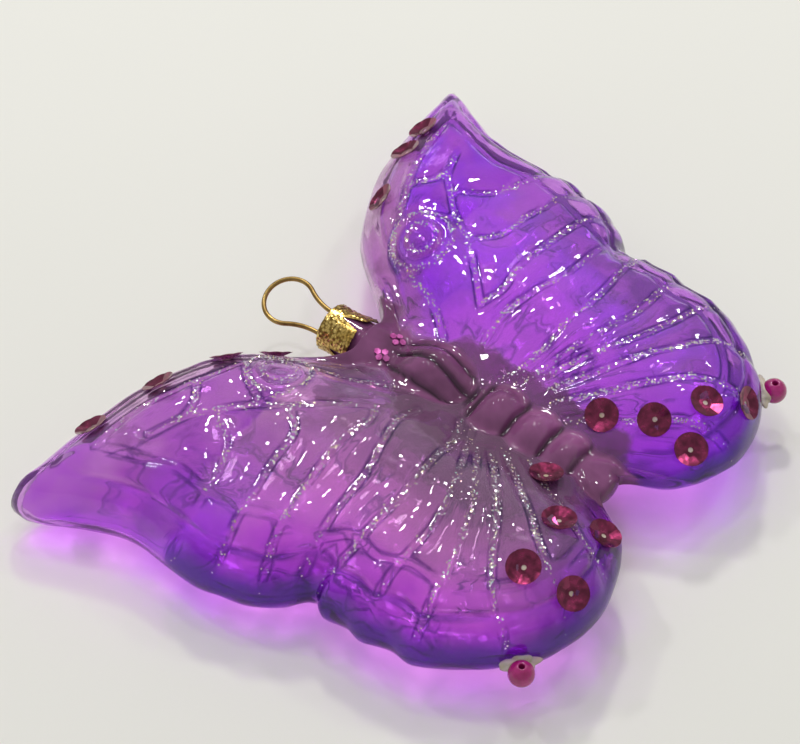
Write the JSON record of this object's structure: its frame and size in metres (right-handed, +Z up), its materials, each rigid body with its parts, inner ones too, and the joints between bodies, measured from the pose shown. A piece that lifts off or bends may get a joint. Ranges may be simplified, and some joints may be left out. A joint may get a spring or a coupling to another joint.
{
  "type": "glass butterfly ornament",
  "caption": "Hollow violet glass butterfly ornament with puffed wings, glued cup sequins, edge beads and a petalled metal cap that carries a wire hanging loop.",
  "frame": {"origin": "middle of the wingspan and wing depth, on the plane the wings rest on", "axes": "+X to the right wing tip seen from the tail, +Y towards the hanger, +Z up from the resting plane"},
  "size_m": [0.126, 0.0954, 0.0236],
  "materials": {
    "violet_glass": "gloss",
    "cap_gold": "crackled",
    "wire_brass": "satin",
    "sequin_burgundy": "metallised",
    "clear_glue": "gloss",
    "bead_fuchsia": "gloss",
    "flake_pink": "metallised"
  },
  "bodies": {
    "butterfly": {"bead_glue_left": "clear_glue", "bead_glue_right": "clear_glue", "eye_flakes_left": "flake_pink", "eye_flakes_right": "flake_pink", "glass_shell": "violet_glass", "sequin_forewing_left_1": "sequin_burgundy", "sequin_forewing_left_2": "sequin_burgundy", "sequin_forewing_left_3": "sequin_burgundy", "sequin_forewing_left_4": "sequin_burgundy", "sequin_forewing_right_1": "sequin_burgundy", "sequin_forewing_right_2": "sequin_burgundy", "sequin_forewing_right_3": "sequin_burgundy", "sequin_glue_forewing_left": "clear_glue", "sequin_glue_forewing_right": "clear_glue", "sequin_glue_hindwing_left": "clear_glue", "sequin_glue_hindwing_right": "clear_glue", "sequin_hindwing_left_1": "sequin_burgundy", "sequin_hindwing_left_2": "sequin_burgundy", "sequin_hindwing_left_3": "sequin_burgundy", "sequin_hindwing_left_4": "sequin_burgundy", "sequin_hindwing_left_5": "sequin_burgundy", "sequin_hindwing_right_1": "sequin_burgundy", "sequin_hindwing_right_2": "sequin_burgundy", "sequin_hindwing_right_3": "sequin_burgundy", "sequin_hindwing_right_4": "sequin_burgundy", "sequin_hindwing_right_5": "sequin_burgundy", "tail_bead_left": "bead_fuchsia", "tail_bead_right": "bead_fuchsia"},
    "cap": {"hanger_cap": "cap_gold"},
    "hanger": {"hanger_wire": "wire_brass"}
  },
  "joints": [
    {"name": "cap_turn", "type": "hinge", "parent": "butterfly", "child": "cap", "pos_m": [0, 0.0243, 0.01177], "axis": [0, 1, 0], "continuous": true},
    {"name": "hanger_slide", "type": "slide", "parent": "cap", "child": "hanger", "axis": [0, 1, 0], "range_m": [0, 0.003]}
  ]
}
